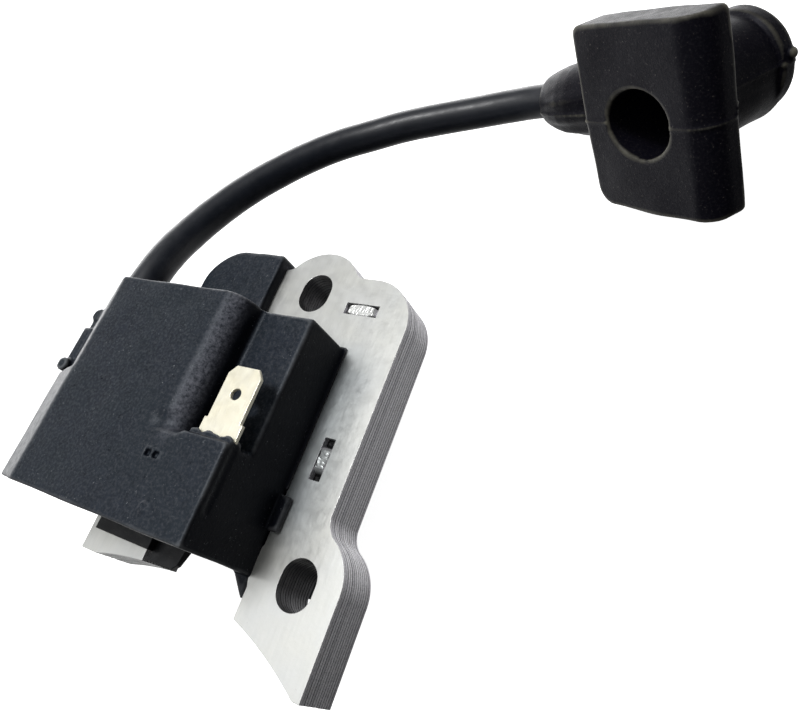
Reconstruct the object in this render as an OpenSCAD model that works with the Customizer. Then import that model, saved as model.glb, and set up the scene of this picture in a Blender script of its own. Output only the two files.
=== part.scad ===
// Ignition coil for a small two-stroke engine: a laminated U core with the coil
// potted in a plastic case on one leg, a kill-switch tab, and a high-tension lead
// with its spark plug boot. Millimetres. X runs across the two legs, Y along them
// from the pole faces to the yoke, Z square to the laminations.

/* [Core] */
// thickness of one lamination
lam_t = 0.5; // [0.35:0.05:0.5]
// varnish between two laminations
lam_gap = 0.02; // [0.02:0.01:0.04]
// number of laminations in the stack
lam_n = 13; // [9:1:13]
// width of the leg inside the coil
leg1_w = 10.4; // [8:0.2:10.4]
// width of the outer leg
leg2_w = 6.85; // [5:0.05:8]
// width of the yoke
yoke_w = 9.4; // [7:0.2:9.4]
// radius of the flywheel sweep that cuts the pole faces
flywheel_r = 43.95; // [42:0.05:46]
// width of the two mounting slots
slot_w = 4.5; // [4:0.1:5]
// length of the two mounting slots
slot_l = 5.65; // [5:0.05:6.5]

/* [Case] */
// height of the case front over the core face
case_front = 12.3; // [12.3:0.1:14]
// depth of the case behind the core face
case_back = 18.8; // [18:0.1:22]
// wall of the case
wall = 1.5; // [1.2:0.1:1.6]
// height of the terminal shelf over the core face
shelf_z = 8; // [7.5:0.1:9]

/* [Terminal] */
// width of the kill-switch tab
tab_w = 4.8; // [4.6:0.1:4.9]
// thickness of the kill-switch tab
tab_t = 0.5; // [0.5:0.1:0.8]
// hole in the kill-switch tab
tab_hole = 1.3; // [1:0.1:1.6]

/* [Coil] */
// thickness of the primary winding
primary_t = 2; // [1.5:0.1:2]
// number of sections on the secondary bobbin
sections = 6; // [4:1:8]

/* [Lead and boot] */
// diameter of the high-tension lead
lead_d = 5; // [4.6:0.1:5]
// bore of the boot for the spark plug
plug_d = 9.6; // [9.2:0.1:10]
// outer diameter of the boot barrel
barrel_d = 13.1; // [12.8:0.1:13.6]
// overall depth of the boot
boot_l = 19; // [19:0.5:22]

/* [Hidden] */
$fn = 96;

// core outline, from the lower mounting slot
leg1_x = -26.85;
leg1_l = leg1_x - leg1_w / 2;
leg1_r = leg1_x + leg1_w / 2;
leg2_l = -5.9;
leg2_r = leg2_l + leg2_w;
yoke_y = 28;
yoke_top = yoke_y + yoke_w;
hole1 = [-14.3, 34.4];
ear1_r = 6.2;
lobe_r = 6.65;
lobe_c = [leg2_r - lobe_r, 30.75];
ear2_c = [-0.5, 0.4];
ear2_r = 5.9;
pole_y = -10;
leg1_end = -5.2;
flywheel_c = [-18.14, -47.69];
stack = lam_t * lam_n;

// case outline
case_l = -44.8;
case_r = -6.1;
case_y0 = -0.9;
case_y1 = 27.1;
bevel_x = -34.6;
bevel_z = 6.8;
bevel_low = 5.1;
bevel_y = 14.2;
housing_y = 10.1;
shoulder_x = -16.9;
shoulder_r = 3.2;
cavity_z = 5.3;
exit_x = -40.3;
exit_z = 4.5;
exit_r = 2.95;
lug_l = -46.2;

// coil, half sizes across and through the stack
coil_z = -stack / 2;
tube_in = [leg1_w / 2 + 0.1, stack / 2 + 0.1];
tube_out = tube_in + [1, 1];
prim_out = tube_out + [primary_t, primary_t];
tape_out = prim_out + [0.2, 0.2];
sec_in = tape_out + [0.1, 0.1];
sec_core = sec_in + [0.8, 0.8];
sec_out = sec_core + [3.2, 3.2];
sec_rim = sec_core + [3.6, 3.6];
sec_y0 = 1.2;
sec_y1 = 19.4;
rim_t = 0.8;
pitch = (sec_y1 - sec_y0 - rim_t) / sections;
prim_y0 = 2.2;
prim_y1 = 23.4;

// board behind the right wall of the case
board_x = -8.9;
board_t = 1;

// kill-switch tab
tab_x = -9;
tab_z = 10.9;
tab_shoulder = 12.4;
tab_tip = 18.7;
tab_foot = 3;

// boot, in its own axes: +Z out of the mouth
boot_pos = [20.6, 63, -0.7];
boot_rot = [68.5, -20, -26];
plug_l = 9.5;
spring_r = 3.9;
plate_t = 5;
plate_x0 = -9.4;
plate_x1 = 10.7;
plate_y0 = -11.6;
plate_y1 = 12.2;
plate_r = 1;
plate_edge = 3.5;
barrel_y = 1.5;
collar_l = 23.5;
collar_mouth = [-22.57, 0.7, -4.38];
collar_rot = [0, 106.4, -1.8];
channel_l = 13;
spike_from = 11.3;

// middle of the lead, from its end in the case to its end in the boot
route = [
    [-40.3, 21, 4.5],
    [-40.3, 27, 4.5],
    [-40.5, 31.5, 4],
    [-40.8, 36, 3],
    [-40.7, 41.3, 1.3],
    [-39.7, 46.8, -0.4],
    [-37.9, 52, -2],
    [-35.5, 56.9, -3.7],
    [-32.5, 61.4, -5.3],
    [-28.8, 65.4, -6.8],
    [-24.3, 68.6, -8.1],
    [-19.4, 71.2, -8.9],
    [-14.1, 73.2, -9.6],
    [-8.8, 74.8, -10.1],
    [-3.4, 76, -10.2],
    [2.1, 76.4, -9.7],
    [7.9, 75.3, -8.5],
    [14.6, 73.9, -7]
];

// the row's origin: under the middle of the core and case
origin = [(lug_l + ear2_c[0] + ear2_r) / 2, (hole1[1] + ear1_r + pole_y) / 2, -case_back];

black = [0.1, 0.11, 0.13];
steel = [0.72, 0.73, 0.75];
brass = [0.86, 0.76, 0.5];
copper = [0.72, 0.4, 0.22];
amber = [0.75, 0.6, 0.4];

// ---- shared shapes ----

module place() {
    translate(-origin)
        children();
}

module slot(c) {
    translate(c + [0, (slot_l - slot_w) / 2])
        circle(d = slot_w);
    translate(c - [0, (slot_l - slot_w) / 2])
        circle(d = slot_w);
    translate(c - [slot_w / 2, (slot_l - slot_w) / 2])
        square([slot_w, slot_l - slot_w]);
}

// block from a corner to the opposite corner
module span(a, b) {
    translate(a)
        cube(b - a);
}

// rectangle with round corners, from half sizes
module round_rect(h, r) {
    translate([-h[0] + r, -h[1]])
        square([2 * (h[0] - r), 2 * h[1]]);
    translate([-h[0], -h[1] + r])
        square([2 * h[0], 2 * (h[1] - r)]);
    for (sx = [-1, 1])
        for (sy = [-1, 1])
            translate([sx * (h[0] - r), sy * (h[1] - r)])
                circle(r = r);
}

// round-cornered sleeve or plate about the coil's axis
module around_leg(h, r, y0, y1) {
    translate([leg1_x, y1, coil_z])
        rotate([90, 0, 0])
            linear_extrude(height = y1 - y0)
                round_rect(h, r);
}

// disc or shaft along Y
module along_y(x, z, r, y0, y1) {
    translate([x, y1, z])
        rotate([90, 0, 0])
            cylinder(r = r, h = y1 - y0);
}

// tube swept along points, its rings turned with the path
function unit(v) = v / norm(v);
function heading(p, i) =
    i == 0 ? unit(p[1] - p[0]) :
    i == len(p) - 1 ? unit(p[i] - p[i - 1]) :
    unit(unit(p[i] - p[i - 1]) + unit(p[i + 1] - p[i]));
function sides_of(p, i) =
    i == 0 ? unit(cross(heading(p, 0), [0.3, 0.2, 1])) :
    let (n = sides_of(p, i - 1), t = heading(p, i)) unit(n - t * (n * t));
function ring(p, i, r, k) =
    let (t = heading(p, i), n = sides_of(p, i), b = cross(t, n))
    [for (j = [0 : k - 1]) p[i] + r * (cos(360 * j / k) * n + sin(360 * j / k) * b)];

module sweep(p, r, k) {
    m = len(p);
    points = [for (i = [0 : m - 1]) each ring(p, i, r, k)];
    walls = [
        for (i = [0 : m - 2])
            for (j = [0 : k - 1])
                [i * k + j, i * k + (j + 1) % k, (i + 1) * k + (j + 1) % k, (i + 1) * k + j]
    ];
    first = [for (j = [0 : k - 1]) k - 1 - j];
    last = [for (j = [0 : k - 1]) (m - 1) * k + j];
    polyhedron(points = points, faces = concat([first], [last], walls));
}

// ---- core ----

// web that rounds the step between the yoke and the upper ear, on side s
module ear1_web(s) {
    r = 2;
    dy = yoke_top + r - hole1[1];
    dx = sqrt(pow(ear1_r + r, 2) - dy * dy);
    k = ear1_r / (ear1_r + r);
    difference() {
        polygon([
            hole1 + [s * dx * k, dy * k],
            hole1 + [s * dx, dy],
            hole1 + [s * dx, dy - r - 0.5],
            hole1 + [s * dx * k, dy - r - 0.5]
        ]);
        translate(hole1 + [s * dx, dy])
            circle(r = r + 0.01);
    }
}

// web that rounds the step between the outer leg and the lower ear
module ear2_web() {
    r = 3;
    dx = leg2_r + r - ear2_c[0];
    dy = sqrt(pow(ear2_r + r, 2) - dx * dx);
    k = ear2_r / (ear2_r + r);
    difference() {
        polygon([
            ear2_c + [dx * k, dy * k],
            ear2_c + [dx, dy],
            ear2_c + [dx - r - 0.5, dy],
            ear2_c + [dx - r - 0.5, dy * k]
        ]);
        translate(ear2_c + [dx, dy])
            circle(r = r + 0.01);
    }
}

module core_outline() {
    corner = 3.5;
    difference() {
        union() {
            translate([leg1_l, leg1_end])
                square([leg1_w, yoke_y - leg1_end + 1]);
            translate([leg1_l, yoke_y])
                square([lobe_c[0] - leg1_l, yoke_w - corner]);
            translate([leg1_l + corner, yoke_y])
                square([lobe_c[0] - leg1_l - corner, yoke_w]);
            translate([leg1_l + corner, yoke_top - corner])
                circle(r = corner);
            translate([leg2_l, pole_y - 1])
                square([leg2_w, lobe_c[1] - pole_y + 1]);
            translate([leg2_l, pole_y])
                square([ear2_c[0] + ear2_r - leg2_l, ear2_c[1] - pole_y]);
            translate(hole1)
                circle(r = ear1_r);
            translate(lobe_c)
                circle(r = lobe_r);
            translate(ear2_c)
                circle(r = ear2_r);
            ear1_web(1);
            ear1_web(-1);
            ear2_web();
        }
        translate(flywheel_c)
            circle(r = flywheel_r, $fn = 180);
        slot(hole1);
        slot([0, 0]);
    }
}

// stamped locks that hold the laminations together
module lock_marks() {
    translate([-6.3, 32.9])
        square([4.9, 1.6], center = true);
    translate([-3.1, 13.5])
        square([1.5, 5.1], center = true);
}

module core_laminations() {
    color(steel)
        place()
            for (i = [0 : lam_n - 1])
                translate([0, 0, -i * lam_t - lam_t + lam_gap])
                    linear_extrude(height = lam_t - lam_gap)
                        difference() {
                            core_outline();
                            if (i < 2)
                                lock_marks();
                        }
}

// ---- case and what seals it ----

// section of the case, its bevel running down to z on the left side
module bevel_profile(z) {
    polygon([
        [case_l, -case_back], [case_r, -case_back], [case_r, case_front],
        [bevel_x, case_front], [case_l, z]
    ]);
}

// shape removed above the terminal housing, over the shelf
module shelf_profile() {
    difference() {
        translate([shoulder_x, shelf_z])
            square([case_r - shoulder_x + 1, case_front - shelf_z + 1]);
        translate([shoulder_x, case_front - shoulder_r])
            circle(r = shoulder_r);
        translate([shoulder_x, shelf_z])
            square([shoulder_r, case_front - shoulder_r - shelf_z]);
    }
}

module cavity_profile(back) {
    drop = (case_front - bevel_low) / (bevel_x - case_l);
    top = case_front - 3;
    inner = case_front - wall * sqrt(1 + drop * drop);
    polygon([
        [case_l + wall, back], [case_r - wall, back], [case_r - wall, cavity_z],
        [-14.9, cavity_z], [-14.9, top], [bevel_x - (inner - top) / drop, top],
        [case_l + wall, inner - (bevel_x - case_l - wall) * drop]
    ]);
}

module profile_block(y0, y1) {
    translate([0, y1, 0])
        rotate([90, 0, 0])
            linear_extrude(height = y1 - y0)
                children();
}

// opening in the end walls for the bobbin tube
module leg_opening(z0, y0, y1) {
    span([leg1_x - tube_out[0], y0, z0], [leg1_x + tube_out[0], y1, coil_z + tube_out[1]]);
}

module terminal_shape() {
    difference() {
        union() {
            span([tab_x - tab_w / 2, tab_foot, tab_z - tab_t / 2],
                 [tab_x + tab_w / 2, tab_tip - 1, tab_z + tab_t / 2]);
            span([tab_x - tab_w / 2 - 0.4, tab_foot, tab_z - tab_t / 2],
                 [tab_x + tab_w / 2 + 0.4, tab_shoulder, tab_z + tab_t / 2]);
            translate([tab_x, 0, tab_z - tab_t / 2])
                linear_extrude(height = tab_t)
                    polygon([
                        [-tab_w / 2, tab_tip - 1], [tab_w / 2, tab_tip - 1],
                        [tab_w / 2 - 0.8, tab_tip], [-tab_w / 2 + 0.8, tab_tip]
                    ]);
            span([board_x - 2, tab_foot, 1], [board_x, tab_foot + tab_t, tab_z]);
        }
        translate([tab_x, 15.45, 0])
            cylinder(d = tab_hole, h = case_front + 5);
    }
}

module ground_shape() {
    span([board_x + board_t, 5, -3.1], [leg2_l, 8, -2.6]);
}

module coil_case() {
    color(black)
        place() {
            difference() {
                union() {
                    profile_block(case_y0, bevel_y)
                        bevel_profile(bevel_z);
                    profile_block(bevel_y, case_y1)
                        bevel_profile(bevel_low);
                    // lug with two nubs on the left side
                    span([lug_l + 0.3, 15.3, 1.4], [case_l + 0.2, 23.7, 5.7]);
                    for (nub = [[15.3, 6.6], [23.7, 5.4]])
                        translate([lug_l + 1, nub[0], 1])
                            cylinder(r = 1, h = nub[1] - 1);
                    // tab over the edge of the outer leg
                    span([case_r - 0.2, 4.2, 0], [-4.5, 8.3, 1]);
                    // web beside the outer leg
                    translate([0, 0, -stack])
                        linear_extrude(height = stack)
                            polygon([
                                [-8.6, case_y0 + 0.2], [case_r, case_y0 + 0.2],
                                [case_r, -3.1], [-7, -2.2]
                            ]);
                }
                profile_block(housing_y, case_y1 + 1)
                    shelf_profile();
                profile_block(case_y0 + wall, case_y1 - wall)
                    cavity_profile(-case_back - 1);
                leg_opening(-case_back - 1, case_y0 - 1, case_y0 + wall + 1);
                leg_opening(-case_back - 1, case_y1 - wall - 1, case_y1 + 1);
                along_y(exit_x, exit_z, exit_r, case_y1 - wall, case_y1 + 1);
                along_y(exit_x, exit_z, lead_d / 2 + 0.05, sec_y1, case_y1);
                terminal_shape();
                ground_shape();
            }
        }
}

module resin_space() {
    profile_block(case_y0 + wall, case_y1 - wall)
        cavity_profile(-case_back + 0.5);
    leg_opening(-case_back + 0.5, case_y0, case_y0 + wall);
    leg_opening(-case_back + 0.5, case_y1 - wall, case_y1);
}

module potting_resin() {
    color([0.16, 0.15, 0.14])
        place()
            difference() {
                resin_space();
                leg_opening(coil_z - tube_out[1], case_y0 - 1, case_y1 + 1);
                around_leg(sec_rim, 3.6, sec_y0, sec_y1);
                around_leg(tape_out, 1.5, prim_y0 - 1, prim_y1 + 1);
                along_y(exit_x, exit_z, lead_d / 2 + 0.05, 21, case_y1);
                ht_pin_shape();
                board_shape();
                transistor_shape();
                driver_shape();
                resistor_shapes();
                diode_shape();
                capacitor_shape();
                terminal_shape();
                ground_shape();
            }
}

module core_corner_cover() {
    cover_l = leg1_l - 1.25;
    cover_r = leg1_r + 0.95;
    y1 = yoke_top + 1.5;
    r = 6;
    color(black)
        place()
            difference() {
                union() {
                    translate([0, 0, -stack - 1.7])
                        linear_extrude(height = stack + 3.4) {
                            translate([cover_l, yoke_y])
                                square([cover_r - cover_l, y1 - yoke_y - r]);
                            translate([cover_l + r, yoke_y])
                                square([cover_r - cover_l - r, y1 - yoke_y]);
                            translate([cover_l + r, y1 - r])
                                circle(r = r);
                        }
                    span([cover_r - 1, yoke_y, -stack - 1.7], [cover_r + 2.1, y1, -stack]);
                }
                translate([0, 0, -stack])
                    linear_extrude(height = stack)
                        core_outline();
            }
}

// ---- coil ----

module primary_bobbin() {
    color([0.2, 0.2, 0.22])
        place()
            difference() {
                union() {
                    leg_opening(coil_z - tube_out[1], case_y0, yoke_y - 0.1);
                    around_leg(tape_out, 1.5, prim_y0 - 1, prim_y0);
                    around_leg(tape_out, 1.5, prim_y1, prim_y1 + 1);
                    // strip over the pole of the inner leg, and the stop block beside it
                    span([-30.2, -2.5, 0.1], [leg1_x + tube_out[0], case_y0, 1.1]);
                    translate([leg1_x + tube_out[0], 0, -1.3])
                        linear_extrude(height = 1.2)
                            polygon([
                                [-0.5, -3.6], [3.8, -3.6], [4.5, -2.9],
                                [4.5, case_y0], [-0.5, case_y0]
                            ]);
                }
                span([leg1_x - tube_in[0], -10, coil_z - tube_in[1]],
                     [leg1_x + tube_in[0], yoke_y + 1, coil_z + tube_in[1]]);
            }
}

module primary_winding() {
    color(copper)
        place()
            difference() {
                around_leg(prim_out, 2, prim_y0, prim_y1);
                leg_opening(coil_z - tube_out[1], prim_y0 - 1, prim_y1 + 1);
            }
}

module winding_tape() {
    color([0.85, 0.75, 0.35])
        place()
            difference() {
                around_leg(tape_out, 2.2, prim_y0, prim_y1);
                around_leg(prim_out, 2, prim_y0 - 1, prim_y1 + 1);
            }
}

module secondary_bobbin() {
    color([0.78, 0.75, 0.68])
        place()
            difference() {
                union() {
                    around_leg(sec_core, 1.5, sec_y0, sec_y1);
                    for (i = [0 : sections])
                        around_leg(sec_rim, 3.6, sec_y0 + i * pitch, sec_y0 + i * pitch + rim_t);
                }
                around_leg(sec_in, 1.5, sec_y0 - 1, sec_y1 + 1);
            }
}

module secondary_windings() {
    color([0.6, 0.3, 0.16])
        place()
            for (i = [0 : sections - 1])
                difference() {
                    around_leg(sec_out, 3.2, sec_y0 + i * pitch + rim_t, sec_y0 + (i + 1) * pitch);
                    around_leg(sec_core, 1.5, sec_y0, sec_y1);
                }
}

// ---- electronics ----

module board_shape() {
    span([board_x, 2, -16], [board_x + board_t, 24, 4]);
}

module transistor_shape() {
    span([board_x - 4, 12, -14], [board_x, 20, -6]);
}

module driver_shape() {
    span([board_x - 3, 5, -14], [board_x, 9, -10]);
}

module resistor_shapes() {
    for (z = [-6, -3])
        along_y(board_x - 1.2, z, 1.1, 3.5, 9.5);
}

module diode_shape() {
    along_y(board_x - 1.45, -2.5, 1.35, 13, 18.5);
}

module capacitor_shape() {
    span([board_x - 2.4, 13, 0.5], [board_x, 19, 3.5]);
}

module ht_pin_shape() {
    span([-41.2, sec_y1, 3], [-37, sec_y1 + 0.6, 5.4]);
    along_y(exit_x, exit_z, 0.7, sec_y1 + 0.5, 21);
}

module control_board() {
    color([0.2, 0.42, 0.26])
        place()
            board_shape();
}

module power_transistor() {
    color([0.12, 0.12, 0.12])
        place()
            transistor_shape();
}

module driver_transistor() {
    color([0.14, 0.14, 0.14])
        place()
            driver_shape();
}

module board_resistors() {
    color(amber)
        place()
            resistor_shapes();
}

module clamp_diode() {
    color([0.1, 0.1, 0.1])
        place()
            diode_shape();
}

module board_capacitor() {
    color([0.8, 0.5, 0.2])
        place()
            capacitor_shape();
}

module kill_terminal() {
    color(brass)
        place()
            terminal_shape();
}

module ground_strip() {
    color(brass)
        place()
            ground_shape();
}

// ---- high-tension side ----

module ht_pin() {
    color(brass)
        place()
            ht_pin_shape();
}

module lead_gland() {
    color(black)
        place()
            difference() {
                along_y(exit_x, exit_z, exit_r, case_y1 - wall, case_y1 + 1.5);
                along_y(exit_x, exit_z, lead_d / 2 + 0.05, case_y1 - wall - 1, case_y1 + 3);
            }
}

module ht_lead() {
    color([0.08, 0.1, 0.13])
        place()
            sweep(route, lead_d / 2, 12);
}

module in_boot() {
    translate(boot_pos)
        rotate(boot_rot)
            children();
}

// flange of the boot, its right edge rounded toward the mouth
module boot_flange() {
    half = [(plate_x1 - plate_x0) / 2, (plate_y1 - plate_y0) / 2];
    difference() {
        translate([(plate_x0 + plate_x1) / 2, (plate_y0 + plate_y1) / 2, -plate_t])
            linear_extrude(height = plate_t)
                round_rect(half, plate_r);
        profile_block(plate_y0 - 1, plate_y1 + 1)
            difference() {
                translate([plate_x1 - plate_edge, -plate_edge])
                    square(plate_edge + 1);
                translate([plate_x1 - plate_edge, -plate_edge])
                    circle(r = plate_edge);
            }
    }
}

// barrel with a bead round its closed end
module boot_barrel() {
    barrel_r = barrel_d / 2;
    bead_r = barrel_r + 0.5;
    translate([0, barrel_y, -boot_l])
        rotate_extrude() {
            translate([0, 1])
                square([bead_r, 1.4]);
            square([bead_r - 1, 1]);
            intersection() {
                translate([bead_r - 1, 1])
                    circle(r = 1);
                square([bead_r, 1]);
            }
            translate([0, 2.4])
                square([barrel_r, boot_l - 3.4]);
        }
    translate([0, 0, -boot_l + 1])
        cylinder(d = plug_d + 2.4, h = boot_l - 2);
}

// bell-mouthed collar that holds the lead
module boot_collar() {
    cylinder(r1 = 3.9, r2 = 5.2, h = 5);
    translate([0, 0, 5])
        cylinder(r = 5.2, h = collar_l - 5);
}

module plug_boot() {
    color(black)
        place()
            in_boot()
                difference() {
                    union() {
                        boot_flange();
                        boot_barrel();
                        translate([6.8, 2.5, -boot_l + 0.8])
                            sphere(r = 0.8);
                        translate(collar_mouth)
                            rotate(collar_rot)
                                boot_collar();
                    }
                    translate([0, 0, -plug_l])
                        cylinder(d = plug_d, h = plug_l + 5);
                    translate([0, 0, -16])
                        cylinder(r = spring_r + 0.5, h = 16);
                    translate(collar_mouth)
                        rotate(collar_rot) {
                            translate([0, 0, -5])
                                cylinder(r = lead_d / 2 + 0.2, h = channel_l + 5);
                            cylinder(r = 0.8, h = channel_l + 6);
                        }
                }
}

module boot_spike() {
    color(brass)
        place()
            in_boot()
                translate(collar_mouth)
                    rotate(collar_rot)
                        translate([0, 0, spike_from])
                            cylinder(r = 0.7, h = 6.9);
}

// coil of spring wire that grips the plug's terminal
module plug_spring() {
    turns = 4;
    steps = 16;
    helix = [
        for (i = [0 : turns * steps])
            let (a = 360 * i / steps)
                [spring_r * cos(a), spring_r * sin(a), -15.4 + 1.25 * i / steps]
    ];
    color(steel)
        place()
            in_boot()
                sweep(helix, 0.4, 8);
}

core_laminations();
coil_case();
potting_resin();
core_corner_cover();
primary_bobbin();
primary_winding();
winding_tape();
secondary_bobbin();
secondary_windings();
control_board();
power_transistor();
driver_transistor();
board_resistors();
clamp_diode();
board_capacitor();
kill_terminal();
ground_strip();
ht_pin();
lead_gland();
ht_lead();
plug_boot();
boot_spike();
plug_spring();
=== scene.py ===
import math

import bmesh
import bpy
import numpy as np
from mathutils import Euler, Matrix, Vector


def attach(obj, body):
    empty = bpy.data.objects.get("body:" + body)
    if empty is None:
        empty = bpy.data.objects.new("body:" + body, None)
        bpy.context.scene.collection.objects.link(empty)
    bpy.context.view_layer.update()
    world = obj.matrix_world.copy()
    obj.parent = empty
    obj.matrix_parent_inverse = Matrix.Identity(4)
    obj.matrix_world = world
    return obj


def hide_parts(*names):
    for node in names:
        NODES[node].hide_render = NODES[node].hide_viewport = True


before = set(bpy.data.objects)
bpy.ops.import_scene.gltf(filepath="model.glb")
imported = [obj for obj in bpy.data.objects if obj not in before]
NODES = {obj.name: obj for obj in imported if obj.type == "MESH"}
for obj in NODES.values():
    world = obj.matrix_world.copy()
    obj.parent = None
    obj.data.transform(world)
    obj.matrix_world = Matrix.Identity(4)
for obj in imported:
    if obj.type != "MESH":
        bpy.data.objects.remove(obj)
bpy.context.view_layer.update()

SCENE = bpy.context.scene
MM = 0.001

# Shapes are written in millimetres from the part's datum, the lower mounting slot
# on the core's front face. DATUM is that point in the row's own millimetres.
DATUM = np.array([20.4, -15.3, 18.8])


def row(p):
    return (np.asarray(p, float) + DATUM) * MM


# ---------------------------------------------------------------- camera


def make_camera():
    cam = bpy.data.objects.new("camera", bpy.data.cameras.new("camera"))
    SCENE.collection.objects.link(cam)
    # solved from the core's parallel edges in the photo
    back = Vector((0.5208, -0.3507, 0.7783)).normalized()
    right = Vector((-0.1317, 0.8678, 0.4791)).cross(back).normalized()
    up = back.cross(right)
    turn = Matrix((right, up, back)).transposed().to_4x4()
    cam.matrix_world = Matrix.Translation((0.06475, -0.0155, 0.08683)) @ turn
    cam.data.sensor_width = 36
    cam.data.lens = 32.61
    cam.data.shift_x = 0.0137
    cam.data.shift_y = -0.0292
    cam.data.clip_start = 0.005
    cam.data.clip_end = 10
    SCENE.camera = cam


make_camera()

# ---------------------------------------------------------------- high-tension lead

LEAD_D = 5.0
ROUTE = [
    (-40.3, 21, 4.5),
    (-40.3, 27, 4.5),
    (-40.5, 31.5, 4),
    (-40.8, 36, 3),
    (-40.7, 41.3, 1.3),
    (-39.7, 46.8, -0.4),
    (-37.9, 52, -2),
    (-35.5, 56.9, -3.7),
    (-32.5, 61.4, -5.3),
    (-28.8, 65.4, -6.8),
    (-24.3, 68.6, -8.1),
    (-19.4, 71.2, -8.9),
    (-14.1, 73.2, -9.6),
    (-8.8, 74.8, -10.1),
    (-3.4, 76, -10.2),
    (2.1, 76.4, -9.7),
    (7.9, 75.3, -8.5),
    (14.6, 73.9, -7),
]


def wire(name, points, radius, sides=8):
    """A round wire along points, as a curve of one open spline."""
    curve = bpy.data.curves.new(name, "CURVE")
    curve.dimensions = "3D"
    curve.bevel_depth = 1.0
    curve.bevel_resolution = sides
    curve.resolution_u = 10
    curve.use_fill_caps = True
    spline = curve.splines.new("BEZIER")
    spline.bezier_points.add(len(points) - 1)
    for b, p in zip(spline.bezier_points, points):
        b.co = row(p)
        b.radius = radius * MM
        b.handle_left_type = b.handle_right_type = "AUTO"
    piece = bpy.data.objects.new(name, curve)
    SCENE.collection.objects.link(piece)
    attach(piece, "root")
    return piece


lead = wire("high_tension_lead", ROUTE, LEAD_D / 2)
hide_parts("ht_lead")

# ---------------------------------------------------------------- shapes as distance fields


class Grid:
    """Sample points in a box, lo to hi, in millimetres."""

    def __init__(self, lo, hi, step):
        self.lo = np.asarray(lo, float)
        self.step = step
        count = np.ceil((np.asarray(hi, float) - self.lo) / step).astype(int) + 1
        axes = [self.lo[i] + step * np.arange(count[i]) for i in range(3)]
        self.x, self.y, self.z = [
            a.astype(np.float32)
            for a in np.meshgrid(*axes, indexing="ij", sparse=True)
        ]


def join(a, b, k=0.0):
    """Both shapes, with a fillet of about k where they meet."""
    if not k:
        return np.minimum(a, b)
    h = np.maximum(k - np.abs(a - b), 0) / k
    return np.minimum(a, b) - h * h * k / 4


def both(a, b, k=0.0):
    return -join(-a, -b, k)


def cut(a, b, k=0.0):
    return both(a, -b, k)


def block(g, lo, hi, r=0.0):
    axes = (g.x, g.y, g.z)
    q = [
        np.abs(axes[i] - (lo[i] + hi[i]) / 2) - (hi[i] - lo[i]) / 2 + r
        for i in range(3)
    ]
    out = np.sqrt(sum(np.maximum(a, 0) ** 2 for a in q))
    return out + np.minimum(np.maximum(np.maximum(q[0], q[1]), q[2]), 0) - r


def rounded(qx, qz, r):
    """A corner of radius r, from the distances past its centre along two axes."""
    return (
        np.sqrt(np.maximum(qx, 0) ** 2 + np.maximum(qz, 0) ** 2)
        + np.minimum(np.maximum(qx, qz), 0)
        - r
    )


def rod_y(g, x, z, radius, y0, y1):
    side = np.sqrt((g.x - x) ** 2 + (g.z - z) ** 2) - radius
    return both(side, np.abs(g.y - (y0 + y1) / 2) - (y1 - y0) / 2)


def rod_z(g, x, y, radius, z0, z1):
    side = np.sqrt((g.x - x) ** 2 + (g.y - y) ** 2) - radius
    return both(side, np.abs(g.z - (z0 + z1) / 2) - (z1 - z0) / 2)


def surface(field, g):
    """Points and quads of a field's zero level, by surface nets."""
    inside = field < 0
    n = field.shape
    cell = np.zeros([m - 1 for m in n], np.uint8)
    offsets = [(i, j, k) for i in (0, 1) for j in (0, 1) for k in (0, 1)]
    for o in offsets:
        cell += inside[tuple(slice(o[i], n[i] - 1 + o[i]) for i in range(3))]
    active = np.argwhere((cell > 0) & (cell < 8))
    value = {
        o: field[active[:, 0] + o[0], active[:, 1] + o[1], active[:, 2] + o[2]]
        for o in offsets
    }
    total = np.zeros((len(active), 3))
    count = np.zeros((len(active), 1))
    for a in offsets:
        for axis in range(3):
            if a[axis]:
                continue
            b = tuple(v + (i == axis) for i, v in enumerate(a))
            fa, fb = value[a], value[b]
            crossed = (fa < 0) != (fb < 0)
            t = np.where(crossed, fa / np.where(crossed, fa - fb, 1), 0)
            p = np.tile(np.array(a, float), (len(active), 1))
            p[:, axis] += t
            total += p * crossed[:, None]
            count += crossed[:, None]
    points = g.lo + g.step * (active + total / count)
    number = np.full(cell.shape, -1, np.int64)
    number[tuple(active.T)] = np.arange(len(active))
    quads = []
    for a in range(3):
        b, c = (a + 1) % 3, (a + 2) % 3
        low = [slice(1, n[i] - 1) for i in range(3)]
        low[a] = slice(0, n[a] - 1)
        high = list(low)
        high[a] = slice(1, n[a])
        lower, upper = inside[tuple(low)], inside[tuple(high)]
        at = np.argwhere(lower != upper)
        start = np.array([1, 1, 1])
        start[a] = 0
        at = at + start
        ring = []
        for db, dc in ((-1, -1), (0, -1), (0, 0), (-1, 0)):
            q = at.copy()
            q[:, b] += db
            q[:, c] += dc
            ring.append(number[tuple(q.T)])
        ring = np.stack(ring, 1)
        out = inside[tuple(at.T)]
        quads.append(np.where(out[:, None], ring, ring[:, ::-1]))
    return points, np.concatenate(quads)


def neighbours(quads, count):
    """Start, end and number of edges at each point."""
    a = np.concatenate([quads, np.roll(quads, -1, 1)], 0)
    b = np.concatenate([np.roll(quads, -1, 1), quads], 0)
    a, b = a.ravel(), b.ravel()
    return a, b, np.maximum(np.bincount(a, minlength=count), 1)[:, None]


def averaged(values, links):
    a, b, degree = links
    out = np.stack(
        [np.bincount(a, values[b, i], len(values)) for i in range(values.shape[1])], 1
    )
    return out / degree


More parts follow.
